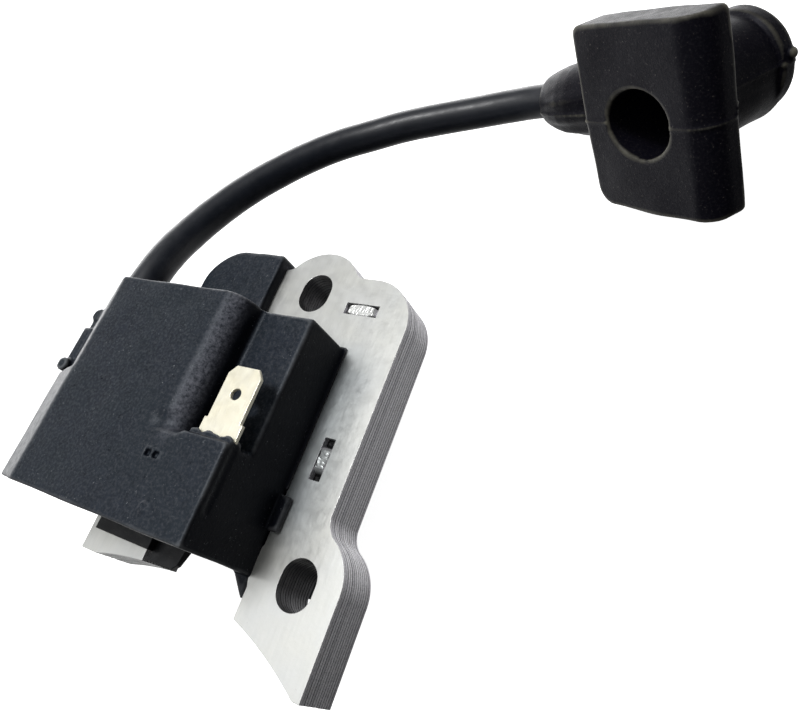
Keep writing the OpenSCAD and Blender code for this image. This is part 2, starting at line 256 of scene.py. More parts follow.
def normals_of(points, quads):
    d1 = points[quads[:, 2]] - points[quads[:, 0]]
    d2 = points[quads[:, 3]] - points[quads[:, 1]]
    face = np.cross(d1, d2)
    out = np.zeros_like(points)
    for i in range(3):
        for j in range(4):
            out[:, i] += np.bincount(quads[:, j], face[:, i], len(points))
    return out / np.maximum(np.linalg.norm(out, axis=1, keepdims=True), 1e-12)


def ripple(points, size, seed, waves=14):
    """Smooth noise from -1 to 1 at points, its bumps about size across."""
    rng = np.random.default_rng(seed)
    turn = rng.normal(size=(waves, 3))
    turn *= 2 * math.pi / size / np.linalg.norm(turn, axis=1, keepdims=True)
    turn *= rng.uniform(0.5, 1.5, (waves, 1))
    phase = rng.uniform(0, 2 * math.pi, waves)
    return np.sin(points @ turn.T + phase).sum(1) / math.sqrt(waves)


def dense(name, points, quads, bumps, place=None):
    """A smooth-shaded piece from a fine mesh, with its convex edges in the attribute "wear".

    bumps are (size, height, seed) of noise that moves the surface, and place takes the
    points from the shape's own axes to the datum's."""
    links = neighbours(quads, len(points))
    points = points * 0.5 + averaged(points, links) * 0.5
    normal = normals_of(points, quads)
    for size, height, seed in bumps:
        points = points + normal * (height * ripple(points, size, seed))[:, None]
    bend = ((points - averaged(points, links)) * normal).sum(1)[:, None]
    for _ in range(3):
        bend = averaged(bend, links)
    if place is not None:
        points = place(points)
    mesh = bpy.data.meshes.new(name)
    mesh.vertices.add(len(points))
    mesh.vertices.foreach_set("co", row(points).astype(np.float32).ravel())
    mesh.loops.add(quads.size)
    mesh.loops.foreach_set("vertex_index", quads.astype(np.int32).ravel())
    mesh.polygons.add(len(quads))
    mesh.polygons.foreach_set("loop_start", np.arange(0, quads.size, 4, dtype=np.int32))
    mesh.polygons.foreach_set("use_smooth", np.ones(len(quads), bool))
    mesh.update(calc_edges=True)
    mesh.validate()
    step = np.median(np.linalg.norm(points[quads[:, 0]] - points[quads[:, 1]], axis=1))
    # how convex each point is; the looks use this for rubbed edges and painted edge highlights
    convexity = np.clip(bend[:, 0] / step * 9, -1, 1)
    mesh.attributes.new("convexity", "FLOAT", "POINT").data.foreach_set(
        "value", convexity.astype(np.float32)
    )
    piece = bpy.data.objects.new(name, mesh)
    SCENE.collection.objects.link(piece)
    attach(piece, "root")
    return piece


SHARP = math.radians(30)


def from_node(node, name, bevel, segments, change=None):
    """A piece with a CAD node's own shape, its faces merged and its edges rounded."""
    bm = bmesh.new()
    bm.from_mesh(NODES[node].data)
    bmesh.ops.remove_doubles(bm, verts=bm.verts, dist=2e-6)
    bmesh.ops.dissolve_limit(
        bm, angle_limit=math.radians(1), verts=bm.verts, edges=bm.edges
    )
    if change:
        change(bm)
    for f in bm.faces:
        f.smooth = True
    for e in bm.edges:
        if len(e.link_faces) == 2 and e.calc_face_angle(0) > SHARP:
            e.smooth = False
    mesh = bpy.data.meshes.new(name)
    bm.to_mesh(mesh)
    bm.free()
    piece = bpy.data.objects.new(name, mesh)
    SCENE.collection.objects.link(piece)
    mod = piece.modifiers.new("edges", "BEVEL")
    mod.width = bevel * MM
    mod.segments = segments
    mod.limit_method = "ANGLE"
    mod.angle_limit = SHARP
    mod.harden_normals = True
    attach(piece, "root")
    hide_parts(node)
    return piece


# ---------------------------------------------------------------- materials


class Look:
    """Builds one procedural material. Its textures are scaled in millimetres."""

    def __init__(self, name):
        self.material = bpy.data.materials.new(name)
        self.material.use_nodes = True
        self.tree = self.material.node_tree
        self.tree.nodes.clear()
        out = self.tree.nodes.new("ShaderNodeOutputMaterial")
        self.shader = self.tree.nodes.new("ShaderNodeBsdfPrincipled")
        self.tree.links.new(self.shader.outputs[0], out.inputs[0])
        self.coord = self.tree.nodes.new("ShaderNodeTexCoord")
        self.mm = self.scaled(self.coord.outputs["Object"], (1000, 1000, 1000))
        self.height = None

    def node(self, kind, **props):
        n = self.tree.nodes.new(kind)
        for key, value in props.items():
            setattr(n, key, value)
        return n

    def put(self, socket, value):
        if isinstance(value, bpy.types.NodeSocket):
            self.tree.links.new(value, socket)
        elif socket.type == "RGBA":
            socket.default_value = (*value, 1)
        else:
            socket.default_value = value

    def set(self, **values):
        for key, value in values.items():
            self.put(self.shader.inputs[key.replace("_", " ")], value)

    def scaled(self, vector, by):
        n = self.node("ShaderNodeMapping")
        self.put(n.inputs["Vector"], vector)
        n.inputs["Scale"].default_value = by
        return n.outputs[0]

    def noise(self, size, detail=3.0, rough=0.55, stretch=None):
        n = self.node("ShaderNodeTexNoise")
        vector = self.scaled(self.mm, stretch) if stretch else self.mm
        self.put(n.inputs["Vector"], vector)
        n.inputs["Scale"].default_value = 1 / size
        n.inputs["Detail"].default_value = detail
        n.inputs["Roughness"].default_value = rough
        return n.outputs["Fac"]

    def cells(self, size):
        """The distance to the nearest of points that lie about size apart."""
        n = self.node("ShaderNodeTexVoronoi")
        self.put(n.inputs["Vector"], self.mm)
        n.inputs["Scale"].default_value = 1 / size
        return n.outputs["Distance"]

    def math(self, operation, a, b=0.0):
        n = self.node("ShaderNodeMath", operation=operation)
        self.put(n.inputs[0], a)
        self.put(n.inputs[1], b)
        return n.outputs[0]

    def ramp(self, value, low, high, a=0.0, b=1.0):
        """value from low to high, as a to b."""
        n = self.node("ShaderNodeMapRange", clamp=True)
        names = ("Value", "From Min", "From Max", "To Min", "To Max")
        for key, v in zip(names, (value, low, high, a, b)):
            self.put(n.inputs[key], v)
        return n.outputs[0]

    def mix(self, factor, a, b):
        n = self.node("ShaderNodeMix", data_type="RGBA")
        self.put(n.inputs["Factor"], factor)
        self.put([s for s in n.inputs if s.identifier == "A_Color"][0], a)
        self.put([s for s in n.inputs if s.identifier == "B_Color"][0], b)
        return [s for s in n.outputs if s.identifier == "Result_Color"][0]

    def attribute(self, name):
        return self.node("ShaderNodeAttribute", attribute_name=name).outputs["Fac"]

    def place(self):
        """The x, y and z of a point, in millimetres of the row."""
        n = self.node("ShaderNodeSeparateXYZ")
        self.put(n.inputs[0], self.mm)
        return n.outputs[0], n.outputs[1], n.outputs[2]

    def facing(self):
        """The x, y and z of the surface's own direction."""
        n = self.node("ShaderNodeSeparateXYZ")
        self.put(n.inputs[0], self.coord.outputs["Normal"])
        return n.outputs[0], n.outputs[1], n.outputs[2]

    def bump(self, height, amount):
        """Adds relief of height (0 to 1) times amount in millimetres."""
        n = self.node("ShaderNodeBump")
        n.inputs["Strength"].default_value = 1.0
        n.inputs["Distance"].default_value = amount * MM
        self.put(n.inputs["Height"], height)
        if self.height is not None:
            self.put(n.inputs["Normal"], self.height)
        self.height = n.outputs[0]
        self.put(self.shader.inputs["Normal"], self.height)


def dress(look, *pieces):
    for p in pieces:
        p.data.materials.clear()
        p.data.materials.append(look.material)


def plastic_look():
    """Black moulded plastic: grain, clouding, dust with painted sheen on what faces up, a painted
    highlight on the shoulder, and pale rubbed edges lightened as painted highlights.
    """
    k = Look("case_plastic")
    cloud = k.noise(6, 3)
    grain = k.noise(0.35, 4, 0.65)
    dust = k.ramp(k.noise(0.3, 2, 0.7), 0.66, 0.76)
    patch = k.ramp(k.noise(3.5, 3), 0.45, 0.7)
    colour = k.mix(cloud, (0.0025, 0.003, 0.006), (0.005, 0.006, 0.011))
    # fine dust, and painted sheen, on what faces up above the core
    _, _, nz = k.facing()
    x, y, z = k.place()
    above = k.ramp(z, DATUM[2] + 1, DATUM[2] + 1.6, 0.1, 1)
    up = k.math("MULTIPLY", k.ramp(nz, 0.4, 0.95, 0.03, 1), above)
    dust_and_sheen = k.mix(k.ramp(k.noise(0.9, 5, 0.75), 0.3, 0.7), (0.004, 0.007, 0.013), (0.015, 0.021, 0.033))
    dust_and_sheen = k.mix(k.ramp(cloud, 0.35, 0.65, 0, 0.5), dust_and_sheen, (0.01, 0.017, 0.023))
    colour = k.mix(up, colour, dust_and_sheen)
    # painted sheen: lighter grain speckle on the same up-facing faces
    light = k.math("MULTIPLY", k.ramp(grain, 0.45, 0.72, 0, 0.75), up)
    colour = k.mix(light, colour, (0.055, 0.06, 0.07))
    colour = k.mix(k.math("MULTIPLY", dust, k.ramp(patch, 0, 1, 0.12, 0.8)), colour, (0.32, 0.34, 0.36))
    # painted highlight along the rounded shoulder, speckled, fading toward the mould mark
    off = k.math("ABSOLUTE", k.math("SUBTRACT", x, DATUM[0] - 14.9))
    shoulder_highlight = k.math("MULTIPLY", k.ramp(off, 0.3, 1.5, 1, 0), k.ramp(z, DATUM[2] + 9.5, DATUM[2] + 11))
    shoulder_highlight = k.math("MULTIPLY", shoulder_highlight, k.ramp(y, DATUM[1] + 7.5, DATUM[1] + 12))
    highlight_speckle = k.ramp(k.noise(0.45, 4, 0.75), 0.38, 0.68, 0.12, 0.95)
    colour = k.mix(k.math("MULTIPLY", shoulder_highlight, highlight_speckle), colour, (0.17, 0.175, 0.205))
    # pale rubbed edges, lightened further as painted edge highlights
    worn_and_lit = k.ramp(k.attribute("convexity"), 0.35, 0.85)
    edge = k.math("MULTIPLY", worn_and_lit, k.ramp(k.noise(3, 4), 0.3, 0.7, 0.2, 1))
    colour = k.mix(k.math("MULTIPLY", edge, 0.45), colour, (0.26, 0.27, 0.28))
    k.set(Base_Color=colour, Roughness=k.ramp(k.noise(0.9, 5, 0.75), 0.3, 0.7, 0.26, 0.5))
    k.set(Specular_IOR_Level=0.17, Specular_Tint=(0.86, 0.92, 1.0))
    k.bump(grain, 0.045)
    k.bump(k.noise(1.8, 2), 0.03)
    return k


def rubber_look():
    """Moulded rubber, bluish black, with dust, and pale warm rubbed edges that carry painted rim
    highlights.
    """
    k = Look("boot_rubber")
    cloud = k.noise(4, 4)
    grain = k.noise(0.3, 4, 0.75)
    colour = k.mix(cloud, (0.0022, 0.0022, 0.005), (0.0045, 0.004, 0.0075))
    colour = k.mix(k.ramp(grain, 0.5, 0.74, 0, 0.7), colour, (0.026, 0.024, 0.028))
    dust = k.ramp(k.noise(0.3, 3, 0.75), 0.66, 0.8)
    colour = k.mix(k.math("MULTIPLY", dust, 0.6), colour, (0.3, 0.27, 0.22))
    # pale warm rubbed edges, lightened further as painted rim highlights
    worn_and_lit = k.ramp(k.attribute("convexity"), 0.2, 0.8)
    edge = k.math("MULTIPLY", worn_and_lit, k.ramp(k.noise(2.5, 4), 0.3, 0.65, 0.25, 1))
    colour = k.mix(k.math("MULTIPLY", edge, 0.7), colour, (0.24, 0.23, 0.18))
    k.set(Base_Color=colour, Roughness=k.ramp(k.noise(1.2, 5, 0.7), 0.3, 0.7, 0.34, 0.52))
    k.set(Specular_IOR_Level=0.13, Specular_Tint=(0.9, 0.9, 1.0))
    k.bump(grain, 0.04)
    k.bump(k.noise(2.2, 3), 0.05)
    return k


def lead_look():
    """Satin silicone jacket, blue-black, mottled, with fine dust."""
    k = Look("lead_jacket")
    colour = k.mix(k.noise(3, 4), (0.006, 0.008, 0.013), (0.012, 0.015, 0.023))
    dust = k.ramp(k.noise(0.25, 3, 0.75), 0.64, 0.8)
    colour = k.mix(k.math("MULTIPLY", dust, 0.22), colour, (0.2, 0.21, 0.22))
    k.set(Base_Color=colour, Roughness=k.ramp(k.noise(1.5, 4), 0.3, 0.7, 0.3, 0.45))
    k.set(Specular_IOR_Level=0.5)
    k.bump(k.noise(0.4, 3), 0.01)
    k.bump(k.noise(2.5, 2), 0.04)
    return k


def steel_look():
    """Silicon steel sheets: brushed bright faces, and dull cut edges with faint rust."""
    k = Look("lamination_steel")
    _, ny, nz = k.facing()
    face = k.ramp(k.math("ABSOLUTE", nz), 0.6, 0.85)
    face = k.math("MAXIMUM", face, k.ramp(ny, -0.8, -0.6, 1, 0))
    rolled = k.noise(0.35, 4, 0.6, stretch=(1, 0.12, 1))
    cloud = k.noise(5, 4)
    bright = k.mix(rolled, (0.58, 0.59, 0.56), (0.69, 0.69, 0.66))
    bright = k.mix(k.ramp(cloud, 0.35, 0.7, 0, 0.4), bright, (0.6, 0.62, 0.64))
    # painted reflection of the dark housing: the face is duller and bluer next to it
    x, y, z = k.place()
    housing_reflection = k.math(
        "MULTIPLY",
        k.ramp(x, DATUM[0] - 6, DATUM[0] + 0.5, 0.75, 0),
        k.ramp(y, DATUM[1] + 2, DATUM[1] + 7),
    )
    housing_reflection = k.math("MULTIPLY", housing_reflection, k.ramp(y, DATUM[1] + 24, DATUM[1] + 29, 1, 0))
    bright = k.mix(housing_reflection, bright, (0.33, 0.38, 0.41))
    speck = k.ramp(k.noise(0.3, 3, 0.7), 0.68, 0.8)
    bright = k.mix(k.math("MULTIPLY", speck, 0.35), bright, (0.2, 0.19, 0.18))
    # each sheet's cut edge has its own grey, and a painted highlight along its top
    depth = k.math("MULTIPLY", k.math("SUBTRACT", DATUM[2], z), 1 / SHEET)
    sheet = k.node("ShaderNodeTexWhiteNoise", noise_dimensions="1D")
    k.put(sheet.inputs["W"], k.math("FLOOR", depth))
    streak = k.noise(0.24, 4, 0.85)
    shade = k.math("ADD", streak, k.math("MULTIPLY", sheet.outputs[0], 0.15))
    dull = k.mix(k.ramp(shade, 0.4, 0.72), (0.5, 0.49, 0.53), (0.98, 0.97, 1.0))
    sheet_glint = k.ramp(k.math("FRACT", depth), 0.05, 0.35, 0.5, 0)
    dull = k.mix(k.math("MULTIPLY", sheet_glint, k.noise(0.8, 2)), dull, (0.9, 0.89, 0.9))
    rust = k.ramp(k.noise(1.4, 4), 0.62, 0.8)
    dull = k.mix(k.math("MULTIPLY", rust, 0.25), dull, (0.24, 0.17, 0.13))
    # painted shade inside the two mounting slots
    for cx, cy in ((0, 0), (-14.3, 34.4)):
        dx = k.math("SUBTRACT", x, cx + DATUM[0])
        dy = k.math("SUBTRACT", y, cy + DATUM[1])
        far = k.math("SQRT", k.math("ADD", k.math("MULTIPLY", dx, dx), k.math("MULTIPLY", dy, dy)))
        dull = k.mix(k.ramp(far, 3.1, SLOT_REACH, 0.8, 0), dull, (0.02, 0.02, 0.022))
    # the ends of the locks lie in shade below the face
    below = k.ramp(z, DATUM[2] - 0.75, DATUM[2] - 0.3, 1, 0)
    pit = k.math("MULTIPLY", below, k.ramp(nz, -0.1, 0.2))
    bright = k.mix(pit, bright, (0.015, 0.015, 0.016))
    dull = k.mix(k.math("MULTIPLY", pit, k.ramp(nz, 0.2, 0.4)), dull, (0.015, 0.015, 0.016))
    k.set(Base_Color=k.mix(face, dull, bright))
    k.set(Metallic=0.6)
    rough = k.ramp(k.noise(1.2, 4), 0.3, 0.7, 0.3, 0.42)
    k.set(Roughness=k.math("ADD", rough, k.ramp(face, 0, 1, 0.12, 0.0)))
    k.bump(rolled, 0.008)
    k.bump(k.noise(0.6, 3), 0.012)
    return k


def brass_look():
    """Tinned brass sheet, pale and warm, with fine scratches."""
    k = Look("terminal_brass")
    cloud = k.noise(2.2, 4)
    colour = k.mix(cloud, (0.92, 0.86, 0.64), (0.98, 0.96, 0.84))
    scratch = k.ramp(k.noise(0.16, 3, 0.6, stretch=(1, 0.1, 1)), 0.5, 0.75)
    colour = k.mix(k.math("MULTIPLY", scratch, 0.35), colour, (0.9, 0.86, 0.74))
    spot = k.ramp(k.noise(0.5, 3), 0.66, 0.8)
    colour = k.mix(k.math("MULTIPLY", spot, 0.3), colour, (0.5, 0.38, 0.2))
    k.set(Base_Color=colour, Roughness=k.ramp(k.noise(0.9, 3), 0.3, 0.7, 0.28, 0.42))
    k.set(Metallic=0.55)
    k.bump(scratch, 0.006)
    return k


def bobbin_look():
    """Dark glass-filled plastic, with a painted olive highlight on its faces toward -y."""
    k = Look("bobbin_plastic")
    colour = k.mix(k.noise(2, 4), (0.006, 0.007, 0.010), (0.014, 0.015, 0.017))
    fibre = k.ramp(k.noise(0.2, 3, 0.6, stretch=(0.3, 1, 1)), 0.6, 0.8)
    colour = k.mix(k.math("MULTIPLY", fibre, 0.3), colour, (0.12, 0.12, 0.09))
    # painted olive highlight on the faces that point toward -y
    _, ny, _ = k.facing()
    end = k.ramp(k.math("MULTIPLY", ny, -1.0), 0.6, 0.9)
    colour = k.mix(k.math("MULTIPLY", end, 0.8), colour, (0.05, 0.055, 0.03))
    k.set(Base_Color=colour, Roughness=k.ramp(k.noise(1, 4), 0.3, 0.7, 0.4, 0.6))
    k.set(Specular_IOR_Level=0.3)
    k.bump(k.noise(0.3, 4), 0.015)
    return k


def resin_look():
    """Potting resin, black-brown and glossy, with pinholes."""
    k = Look("potting_resin")
    colour = k.mix(k.noise(5, 4), (0.010, 0.009, 0.008), (0.03, 0.025, 0.021))
    hole = k.ramp(k.cells(1.4), 0.05, 0.12, 1, 0)
    colour = k.mix(k.math("MULTIPLY", hole, 0.7), colour, (0.002, 0.002, 0.002))
    k.set(Base_Color=colour, Roughness=k.ramp(k.noise(2.5, 4), 0.3, 0.7, 0.12, 0.32))
    k.set(Specular_IOR_Level=0.5)
    k.bump(k.math("SUBTRACT", 1.0, hole), 0.12)
    k.bump(k.noise(4, 3), 0.12)
    return k


def enamel_look(name, dark, light, turns):
    """Windings laid side by side along the leg, turns wires to the millimetre."""
    k = Look(name)
    _, y, _ = k.place()
    wave = k.math("SINE", k.math("MULTIPLY", y, turns * 2 * math.pi))
    colour = k.mix(k.ramp(wave, -1, 1), dark, light)
    colour = k.mix(k.ramp(k.noise(1.5, 4), 0.4, 0.7, 0, 0.5), colour, dark)
    k.set(Base_Color=colour, Roughness=k.ramp(k.noise(0.8, 3), 0.3, 0.7, 0.25, 0.4))
    k.set(Metallic=0.6)
    k.bump(wave, 0.05)
    return k


def plain_look(name, dark, light, size, rough, metallic=0.0):
    """A mottled surface between two colours, with specks of the lighter one."""
    k = Look(name)
    colour = k.mix(k.noise(size, 4), dark, light)
    spots = k.ramp(k.noise(size * 0.15, 3, 0.7), 0.62, 0.76)
    colour = k.mix(k.math("MULTIPLY", spots, 0.4), colour, light)
    k.set(Base_Color=colour, Roughness=k.ramp(k.noise(size * 0.6, 4), 0.3, 0.7, *rough))
    k.set(Metallic=metallic)
    k.bump(k.noise(size * 0.25, 4), 0.02)
    return k


TAPE_WIDTH = 5.3


def tape_look():
    """Polyester tape in overlapping turns."""
    k = Look("winding_tape")
    _, y, _ = k.place()
    lap = k.math("FRACT", k.math("DIVIDE", y, TAPE_WIDTH))
    colour = k.mix(lap, (0.5, 0.36, 0.06), (0.66, 0.52, 0.14))
    colour = k.mix(k.ramp(k.noise(1.5, 4), 0.4, 0.7, 0, 0.4), colour, (0.4, 0.27, 0.05))
    k.set(Base_Color=colour, Roughness=k.ramp(k.noise(1, 3), 0.3, 0.7, 0.2, 0.35))
    k.bump(lap, 0.08)
    return k


def board_look():
    """Green board with lighter tracks."""
    k = Look("control_board")
    _, _, z = k.place()
    track = k.ramp(k.math("ABSOLUTE", k.math("SINE", k.math("MULTIPLY", z, 1.6))), 0.9, 0.95)
    gate = k.ramp(k.noise(4, 1), 0.48, 0.5)
    base = k.mix(k.noise(1.2, 4), (0.012, 0.07, 0.03), (0.03, 0.12, 0.05))
    colour = k.mix(k.math("MULTIPLY", track, gate), base, (0.05, 0.2, 0.09))
    k.set(Base_Color=colour, Roughness=k.ramp(k.noise(2, 3), 0.3, 0.7, 0.25, 0.4))
    k.bump(track, 0.03)
    return k


# ---------------------------------------------------------------- case


CASE_LO = (-44.8, -0.95, -18.7)
CASE_HI = (-6.1, 27.1, 12.3)
BEVEL_RUN = 10.2  # the left bevel's width, seen from the front
SHOULDER_X, SHOULDER_R = -16.9, 3.2  # where the front rounds over to the shelf
SHELF_Z = 8
STEP_Y = 10.1  # below this the case has its full height again
HOLLOW_X = (-43.3, -7.6)
HOLLOW_Y = (0.7, 25.6)
COIL_X = (-33.15, -20.55)  # the openings at both ends of the coil
LEAD_X, LEAD_Z = -40.3, 4.5  # the lead's axis where it leaves the case


def bevel_plane(g, rise):
    """The left bevel, which rises by rise over its run and ends at the case's top."""
    length = math.hypot(rise, BEVEL_RUN)
    across, out = -rise / length, BEVEL_RUN / length
    return (g.x - CASE_LO[0]) * across + (g.z - (CASE_HI[2] - rise)) * out


def case_field(g):
    x, y, z = g.x, g.y, g.z
    shell = both(block(g, CASE_LO, CASE_HI, 0.25), bevel_plane(g, 5.9), 0.3)
    shell = cut(shell, both(-bevel_plane(g, 7.2), 14.2 - y), 0.3)
    qx, qz = x - SHOULDER_X, z - (CASE_HI[2] - SHOULDER_R)
    shoulder = (
        np.sqrt(np.maximum(qx, 0) ** 2 + np.maximum(qz, 0) ** 2) - SHOULDER_R + np.minimum(qx, 0)
    )
    kept = join(join(shoulder, z - SHELF_Z, 0.7), y - STEP_Y, 0.4)
    # crisp on the left, soft by the housing's wall, eased elsewhere
    left = np.clip(-x - 12.5, 0, 1)
    near = left * np.clip(11.8 - y, 0, 1)
    crisp, soft, eased = both(shell, kept), both(shell, kept, 1.6), both(shell, kept, 0.35)
    shell = crisp * (left - near) + soft * near + eased * (1 - left)
    # lug with two nubs on the left, and the tab over the outer leg's edge
    shell = join(shell, block(g, (-45.9, 15.3, 1.4), (-44.3, 21.4, 5.8), 0.2), 0.3)
    shell = join(shell, block(g, (-45.9, 20, 1.4), (-44.3, 23.7, 5.1), 0.2), 0.3)
    for yy, top in ((15.3, 6.6), (23.7, 5.4)):
        shell = join(shell, rod_z(g, -45.2, yy, 0.95, 1.1, top), 0.4)
    shell = join(shell, block(g, (-7, 4.2, 0.02), (-4.5, 8.3, 0.95), 0.2), 0.2)
    # rim along the foot of the right wall
    shell = join(shell, block(g, (-7, 9, 0.02), (-5.75, 27.4, 0.5), 0.15), 0.15)
    # web beside the outer leg
    web = both(both(-(x + y + 9.5) * 0.707, x + 6.05), np.abs(z + 3.2) - 3.2)
    shell = join(shell, both(web, y + 0.3), 0.15)
    # mould marks: a shallow ring, a plain raised pad
    ring = np.abs(np.sqrt((x + 12.7) ** 2 + (y - 1.4) ** 2) - 0.5) - 0.12
    shell = join(shell, both(ring, np.abs(z - CASE_HI[2]) - 0.12), 0.08)
    pad = block(g, (-16.3, 6, 12), (-13.9, 7.4, 12.48), 0.12)
    shell = join(shell, pad, 0.1)
    for xx in (-15.7, -14.5):
        shell = cut(shell, block(g, (xx - 0.45, 6.35, 12), (xx + 0.45, 7.05, 13), 0.1), 0.08)
    # lip where the terminal leaves the housing
    ragged = 10.5 + 0.35 * np.abs(np.sin(x * 1.25 + 0.9)) + 0.08 * np.sin(x * 4.3)
    lip = both(block(g, (-12.3, 9.8, 9.9), (-6.15, 11.6, 11.7), 0.2), y - ragged, 0.15)
    shell = join(shell, lip, 0.2)
    # hollow for the resin, the coil's openings, the gland's hole, the terminal's slot
    hollow = block(g, (HOLLOW_X[0], HOLLOW_Y[0], -20), (HOLLOW_X[1], HOLLOW_Y[1], -10), 0.6)
    shell = cut(shell, hollow, 0.3)
    for y0, y1 in ((-2, 1.7), (24.6, 28)):
        shell = cut(shell, block(g, (COIL_X[0], y0, -20), (COIL_X[1], y1, 1.1), 0.1), 0.15)
    shell = cut(shell, rod_y(g, LEAD_X, LEAD_Z, 2.9, 25.6, 28), 0.1)
    shell = cut(shell, rod_y(g, LEAD_X, LEAD_Z, 2.6, 18, 28))
    return cut(shell, block(g, (-11.8, 3, 10.5), (-6.2, 11, 11.3)))


def make_case():
    g = Grid((-47, -4.2, -19.6), (-3.8, 28, 13.2), 0.2)
    points, quads = surface(case_field(g), g)
    case = dense("coil_case_shell", points, quads, ((9, 0.035, 3),))
    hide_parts("coil_case")
    return case


RESIN_BACK = -18.35


def make_resin():
    g = Grid((-44.5, -1.2, -19.2), (-6.6, 27.6, -7), 0.3)
    (x0, x1), (y0, y1) = HOLLOW_X, HOLLOW_Y
    # the resin creeps up the walls a little
    edge = np.minimum(np.minimum(g.x - x0, x1 - g.x), np.minimum(g.y - y0, y1 - g.y))
    creep = 0.3 * np.exp(-np.maximum(edge, 0) / 0.8)
    body = both(block(g, (x0, y0, -19), (x1, y1, -14)), RESIN_BACK - creep - g.z)
    for end0, end1 in ((-0.78, 1), (25, 27.08)):
        end = block(g, (COIL_X[0], end0, RESIN_BACK), (COIL_X[1], end1, -7.65))
        body = join(body, end)
    points, quads = surface(body, g)
    resin = dense("resin_fill", points, quads, ((8, 0.05, 11), (2.5, 0.02, 12)))
    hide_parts("potting_resin")
    return resin


def make_cover():
    g = Grid((-34.2, 27.2, -9), (-17.8, 39.8, 2.6), 0.16)
    x, y, z = g.x, g.y, g.z
    corner = rounded(-27.3 - x, y - 32.9, 6)
    slab = both(np.maximum(x + 20.7, 28 - y), np.abs(z + 3.25) - 4.95, 0.4)
    body = both(corner, slab, 0.9)
    body = join(body, block(g, (-22, 28, -8.2), (-18.6, 38.9, -6.52), 0.3), 0.2)
    body = cut(body, block(g, (-32.1, 26, -6.52), (-17, 37.42, 0.02)), 0.1)
    points, quads = surface(body, g)
    cover = dense("corner_cover", points, quads, ((5, 0.04, 21),))
    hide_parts("core_corner_cover")
    return cover


# ---------------------------------------------------------------- core


SHEETS = 13
SHEET = 0.5
SLOT_REACH = 3.5  # a mounting slot's walls lie within this of its centre


def burred(bm):
    """Shifts each lamination a little, as stamped and stacked sheets lie."""
    rng = np.random.default_rng(5)
    shift = rng.normal(0, 0.009, (SHEETS, 2)) * MM
    top = DATUM[2] * MM
    for v in bm.verts:
        i = min(max(int((top - v.co.z) / (SHEET * MM)), 0), SHEETS - 1)
        v.co.x += shift[i][0]
        # the rear sheets stand a little into the lower slot
        dx, dy = v.co.x / MM - DATUM[0], v.co.y / MM - DATUM[1]
        if i > 4 and dx < 0 and math.hypot(dx, dy) < SLOT_REACH:
            v.co.x += 0.03 * (i - 4) * MM
        v.co.y += shift[i][1]


def make_core():
    core = from_node("core_laminations", "core_stack", 0.045, 2, burred)
    return core


def slimmer(bm):
    """Draws the stop block's free side in, as the moulding tapers there."""
    for v in bm.verts:
        if v.co.y < (DATUM[1] - 1.5) * MM and v.co.x > (DATUM[0] - 20.5) * MM:
            v.co.x -= (0.3 if v.co.z > (DATUM[2] - 0.7) * MM else 0.7) * MM


def make_locks():
    """Pressed locks in the two windows: a raised middle with a slope at each end."""
    bm = bmesh.new()
    rng = np.random.default_rng(8)
    for cx, cy, half, side, along, flat in (
        (-6.3, 32.85, 2.4, 0.8, 0, 0.75),
        (-3.1, 13.5, 2.55, 0.75, 1, 0.4),
    ):
        steps = 24
        profile = []
        for i in range(steps + 1):
            t = -1 + 2 * i / steps
            depth = -0.96 + 0.95 * (1 - min(1, max(0, (abs(t) - flat) / 0.3)) ** 1.5)
            waist = side - 0.02 - 0.14 * along * abs(math.sin(t * 7)) * (abs(t) < flat + 0.1)
            waist = waist * (1 if along else math.sqrt(1.02 - 0.85 * t * t))
            profile.append((t * (half - 0.02), depth, waist))
        rings = []
        for t, depth, waist in profile:
            ring = []
            for s, drop in ((-1, -0.1), (-0.85, 0), (-0.3, 0), (0.3, 0), (0.85, 0), (1, -0.1)):
                off = (t, s * waist) if along == 0 else (s * waist, t)
                dent = rng.uniform(-0.05, 0.01)
                ring.append(bm.verts.new(row((cx + off[0], cy + off[1], depth + drop + dent))))
            rings.append(ring)
        for a, b in zip(rings, rings[1:]):
            for j in range(5):
                quad = (a[j], b[j], b[j + 1], a[j + 1])
                bm.faces.new(quad if along == 0 else quad[::-1])
    bmesh.ops.recalc_face_normals(bm, faces=bm.faces)
    if sum(f.normal.z for f in bm.faces) < 0:
        bmesh.ops.reverse_faces(bm, faces=bm.faces)
    mesh = bpy.data.meshes.new("pressed_locks")
    bm.to_mesh(mesh)
    bm.free()
    locks = bpy.data.objects.new("pressed_locks", mesh)
    SCENE.collection.objects.link(locks)
    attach(locks, "root")
    return locks


# ---------------------------------------------------------------- boot

BOOT_AT = np.array([20.6, 63.0, -0.7])
BOOT_TURN = np.array(Euler([math.radians(a) for a in (68.5, -20, -26)]).to_matrix())
COLLAR_AT = np.array([-22.57, 0.8, -4.38])
COLLAR_TURN = np.array(Euler([math.radians(a) for a in (0, 106.4, -1.8)]).to_matrix())


FLANGE_MID = (0.65, 0.3)
FLANGE_HALF = (9.85, 11.8)
FLANGE_DEEP = 5
BARREL_R = 6
# the collar's radius at some places along it
COLLAR_ALONG = (0.5, 1.2, 2.5, 4.2, 6, 9)
COLLAR_R = (3.3, 3.7, 4.2, 4.7, 5, 5.2)


